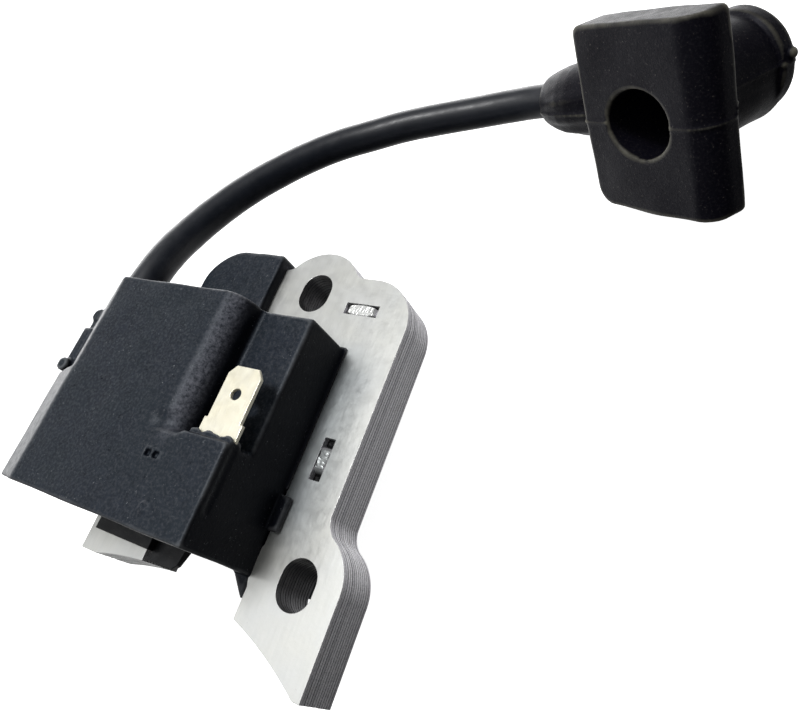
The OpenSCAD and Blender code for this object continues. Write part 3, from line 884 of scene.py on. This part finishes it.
def boot_field(g):
    x, y, z = g.x, g.y, g.z
    # flange, its sides slightly bulged, its right edge rolled toward the mouth
    fx, fy = x - FLANGE_MID[0], y - FLANGE_MID[1]
    swell_x = 0.3 * (1 - (fy / 11.9) ** 2)
    swell_y = 0.15 * (1 - (fx / 10) ** 2)
    corner = np.where(x > 0.5, 0.8, np.where(y > 0.5, 1.0, 2.5))
    outline = rounded(
        np.abs(fx) - FLANGE_HALF[0] - swell_x + corner,
        np.abs(fy) - FLANGE_HALF[1] - swell_y + corner,
        corner,
    )
    flange = both(outline, np.abs(z + FLANGE_DEEP / 2) - FLANGE_DEEP / 2, 0.5)
    flange = both(flange, rounded(x - 7 - swell_x, z + 3.5, 3.5), 0.2)
    # barrel with a bead round its closed end, and a nub on the bead
    r = np.sqrt(x * x + y * y)
    rb = np.sqrt(x * x + (y - 1.5) ** 2)
    barrel = both(join(rb - (BARREL_R + 0.3), r - BARREL_R), np.abs(z + 10) - 8)
    barrel = join(barrel, rounded(rb - 6.15, np.abs(z + 17.8) - 0.6, 0.7), 0.1)
    nub = np.sqrt((x - 6.75) ** 2 + (y - 2.5) ** 2 + (z + 18.2) ** 2) - 0.75
    body = join(flange, join(barrel, nub, 0.3), 0.8)
    # collar round the lead
    p = np.stack(np.broadcast_arrays(x, y, z), -1) - COLLAR_AT.astype(np.float32)
    u = p @ COLLAR_TURN.astype(np.float32)
    side = np.sqrt(u[..., 0] ** 2 + u[..., 1] ** 2)
    along = u[..., 2]
    radius = np.interp(along, COLLAR_ALONG, COLLAR_R)
    angle = np.arctan2(u[..., 1], u[..., 0])
    fold = 0.15 * np.sin(angle * 11 + along * 0.3) * np.clip(1.2 - u[..., 1] / 3, 0, 1)
    fold = fold * np.clip((along - 1) / 3, 0, 1)
    collar = both(side - radius - fold, np.abs(along - 12.1) - 11.6, 0.3)
    body = join(body, collar, 1.3)
    # parting line in the plane of the collar and barrel
    middle = 1.5 * np.clip((-z - 4.5) * 2, 0, 1)
    body = body - 0.17 * np.exp(-(((y - middle) / 0.2) ** 2))
    # bore with a thin lip, the hollow of the spring, and the lead's channel
    mouth = np.sqrt(((x + 0.1) / 5.1) ** 2 + (y / 4.3) ** 2) * 4.6 - 4.6
    body = cut(body, both(mouth, np.abs(z + 4) - 5.5), 0.2)
    body = cut(body, both(mouth - 0.15, np.abs(z) - 0.2), 0.08)
    body = cut(body, both(r - 4.4, np.abs(z + 8) - 8))
    return cut(body, both(side - 2.7, np.abs(along - 4) - 9), 0.25)


def boot_place(points):
    return points @ BOOT_TURN.T + BOOT_AT


def make_boot():
    g = Grid((-23.8, -12.6, -20.2), (11.6, 13.6, 0.8), 0.2)
    points, quads = surface(boot_field(g), g)
    boot = dense("spark_plug_boot", points, quads, ((9, 0.07, 31),), boot_place)
    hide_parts("plug_boot")
    return boot


def make_spring():
    turns, steps, pitch, radius = 4, 16, 1.25, 3.9
    helix = []
    for i in range(turns * steps + 1):
        a = 2 * math.pi * i / steps
        p = np.array([radius * math.cos(a), radius * math.sin(a), -15.4 + pitch * i / steps])
        helix.append(BOOT_TURN @ p + BOOT_AT)
    spring = wire("plug_spring_wire", helix, 0.4, 4)
    spring.data.resolution_u = 3
    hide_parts("plug_spring")
    return spring


# ---------------------------------------------------------------- build

case = make_case()
resin = make_resin()
cover = make_cover()
core = make_core()
locks = make_locks()
bobbin = from_node("primary_bobbin", "coil_bobbin", 0.25, 3, slimmer)
blade = from_node("kill_terminal", "kill_blade", 0.12, 3)
gland = from_node("lead_gland", "lead_gland_ring", 0.3, 3)
boot = make_boot()
spring = make_spring()

plastic = plastic_look()
dress(plastic, case, cover, gland)
dress(resin_look(), resin)
dress(steel_look(), core, locks)
dress(bobbin_look(), bobbin)
brass = brass_look()
dress(brass, blade, NODES["ground_strip"], NODES["ht_pin"], NODES["boot_spike"])
dress(rubber_look(), boot)
dress(lead_look(), lead)
dress(
    plain_look("spring_steel", (0.3, 0.3, 0.31), (0.55, 0.55, 0.56), 1.5, (0.22, 0.38), 0.9),
    spring,
)
dress(
    enamel_look("primary_enamel", (0.25, 0.07, 0.02), (0.75, 0.3, 0.1), 2.0),
    NODES["primary_winding"],
)
dress(
    enamel_look("secondary_enamel", (0.2, 0.05, 0.015), (0.55, 0.2, 0.07), 6.0),
    NODES["secondary_windings"],
)
dress(tape_look(), NODES["winding_tape"])
dress(board_look(), NODES["control_board"])
dress(
    plain_look("pale_nylon", (0.5, 0.46, 0.38), (0.66, 0.62, 0.53), 2.5, (0.35, 0.5)),
    NODES["secondary_bobbin"],
)
dress(
    plain_look("transistor_epoxy", (0.008, 0.008, 0.009), (0.022, 0.022, 0.024), 1.2, (0.3, 0.5)),
    NODES["power_transistor"],
    NODES["driver_transistor"],
    NODES["clamp_diode"],
)
dress(
    plain_look("resistor_enamel", (0.42, 0.3, 0.16), (0.6, 0.46, 0.28), 1.0, (0.2, 0.35)),
    NODES["board_resistors"],
)
dress(
    plain_look("capacitor_film", (0.45, 0.2, 0.03), (0.62, 0.32, 0.07), 1.4, (0.22, 0.36)),
    NODES["board_capacitor"],
)

# ---------------------------------------------------------------- studio


def make_floor():
    bpy.ops.mesh.primitive_plane_add(size=6, location=(0, 0, 0))
    floor = bpy.context.object
    floor.name = "floor"
    k = Look("studio_floor")
    k.set(Base_Color=k.mix(k.noise(60, 3), (0.9, 0.9, 0.9), (0.93, 0.93, 0.93)))
    k.set(Roughness=0.9, Specular_IOR_Level=0.1)
    k.set(Emission_Color=(1, 1, 1), Emission_Strength=0.93)
    dress(k, floor)
    # only the camera sees the floor, so that the dark sides stay dark
    floor.visible_glossy = False
    floor.visible_diffuse = False
    floor.visible_shadow = False


def make_world():
    world = bpy.data.worlds.new("studio")
    SCENE.world = world
    world.use_nodes = True
    tree = world.node_tree
    tree.nodes.clear()
    out = tree.nodes.new("ShaderNodeOutputWorld")
    sky = tree.nodes.new("ShaderNodeBackground")
    coord = tree.nodes.new("ShaderNodeTexCoord")
    split = tree.nodes.new("ShaderNodeSeparateXYZ")
    tree.links.new(coord.outputs["Generated"], split.inputs[0])

    def calc(operation, a, b=0.0, clamp=False):
        n = tree.nodes.new("ShaderNodeMath")
        n.operation = operation
        n.use_clamp = clamp
        for socket, v in zip(n.inputs, (a, b)):
            if isinstance(v, bpy.types.NodeSocket):
                tree.links.new(v, socket)
            else:
                socket.default_value = v
        return n.outputs[0]

    x, y, z = split.outputs
    up = calc("ADD", calc("MULTIPLY", z, 5.0), 0.5, True)
    # a soft dome, brighter to the left, and a box of light above it
    left = calc("ADD", calc("MULTIPLY", x, -0.8), 0.6, True)
    box = calc("MULTIPLY", calc("SUBTRACT", z, 0.6), 4.0, True)
    dome = calc("ADD", calc("MULTIPLY", left, 0.34), 0.04)
    dome = calc("ADD", dome, calc("MULTIPLY", calc("POWER", box, 1.5), left))
    level = calc("MULTIPLY", up, dome)
    # what the pale floor sends up, brightest behind and to the left
    tilt = calc("ADD", calc("MULTIPLY", x, -1.1), calc("MULTIPLY", y, 2.6))
    floor = calc("MULTIPLY", calc("MAXIMUM", calc("ADD", tilt, 1.0), 0.1), 0.42)
    level = calc("ADD", level, calc("MULTIPLY", calc("SUBTRACT", 1.0, up), floor))
    toward = calc("ADD", calc("MULTIPLY", x, -0.75), calc("MULTIPLY", y, 0.66), True)
    fall = calc("MAXIMUM", calc("MULTIPLY", z, -1.2), calc("MULTIPLY", z, 2.2))
    low = calc("SUBTRACT", 1.0, fall, True)
    glow = calc("MULTIPLY", calc("POWER", toward, 3.2), low)
    level = calc("ADD", level, calc("MULTIPLY", glow, 5.2))
    # and a patch of it low on the left
    below = calc("MULTIPLY", calc("ADD", z, 0.3), -4.0, True)
    patch = calc("MULTIPLY", below, calc("MULTIPLY", x, -1.5, True))
    level = calc("ADD", level, calc("MULTIPLY", patch, 0.7))
    tree.links.new(level, sky.inputs["Strength"])
    tree.links.new(sky.outputs[0], out.inputs[0])


def make_lamp(name, place, aim, size, power):
    lamp = bpy.data.lights.new(name, "AREA")
    lamp.shape = "DISK"
    lamp.size = size
    lamp.energy = power
    holder = bpy.data.objects.new(name, lamp)
    SCENE.collection.objects.link(holder)
    holder.location = place
    holder.rotation_mode = "QUATERNION"
    holder.rotation_quaternion = (Vector(aim) - Vector(place)).to_track_quat("-Z", "Y")


make_floor()
make_world()
make_lamp("key", (-0.05, 0.07, 0.42), (0, 0.02, 0.01), 0.1, 0.75)
make_lamp("fill", (-0.3, -0.1, 0.4), (0, 0.02, 0.01), 0.35, 0.2)
SCENE.view_settings.view_transform = "Standard"
